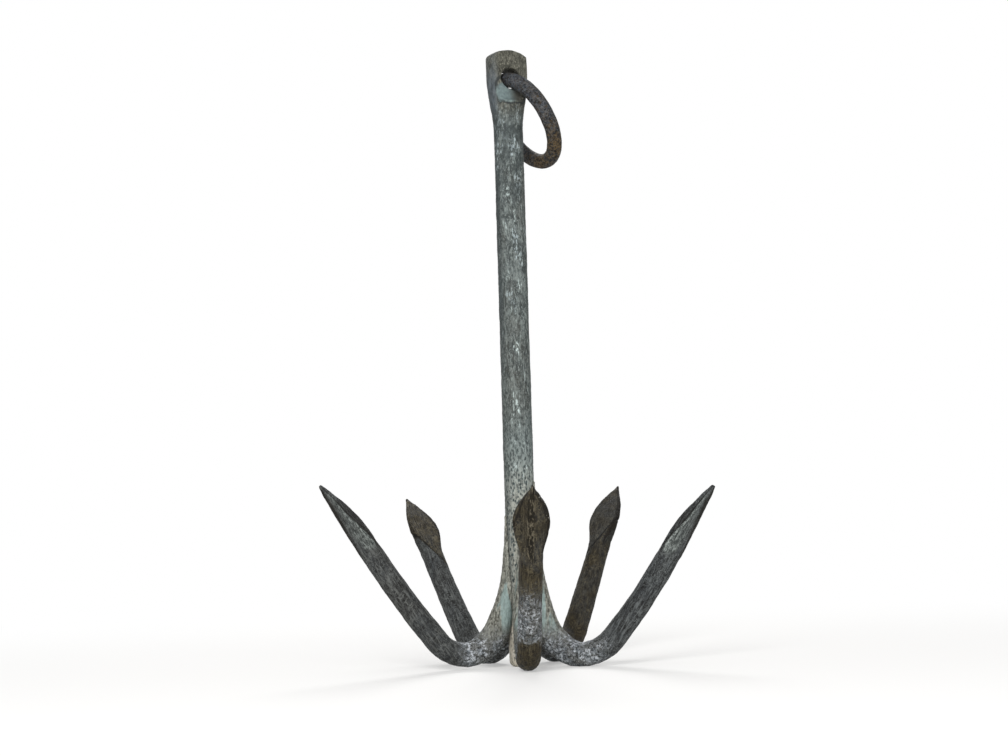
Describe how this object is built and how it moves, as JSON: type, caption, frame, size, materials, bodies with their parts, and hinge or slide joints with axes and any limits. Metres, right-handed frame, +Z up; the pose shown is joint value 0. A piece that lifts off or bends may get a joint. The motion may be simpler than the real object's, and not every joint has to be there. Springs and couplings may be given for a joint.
{
  "type": "grapnel anchor",
  "caption": "Weathered forged grapnel anchor: round shank with an eye and a loose ring, and curved arms with leaf-shaped bills.",
  "frame": {"origin": "centre of the shank's flat butt end, level with the worn undersides of the arm bends", "axes": "+Z up along the shank to its eye, -Y towards the front arm, +X to the right of it"},
  "size_m": [0.3756, 0.3498, 0.61],
  "materials": {
    "shank_zinc": "weathered hot-dip zinc over forged steel, mid grey with pale blue-green streaks and specks",
    "arm_zinc": "weathered zinc worn dark on the rising arms and bills, pale and mottled at the bends and roots",
    "ring_iron": "dark forged steel with the zinc nearly gone"
  },
  "bodies": {
    "anchor": {"shank": "shank_zinc", "arm_front": "arm_zinc", "arm_left": "arm_zinc", "arm_right": "arm_zinc", "arm_back_left": "arm_zinc", "arm_back_right": "arm_zinc"},
    "ring": {"ring": "ring_iron"}
  },
  "joints": [
    {"name": "ring_swing", "type": "hinge", "parent": "anchor", "child": "ring", "pos_m": [0, 0, 0.5795], "axis": [0.4226, -0.9063, 0], "range_deg": [-15, 290]}
  ]
}
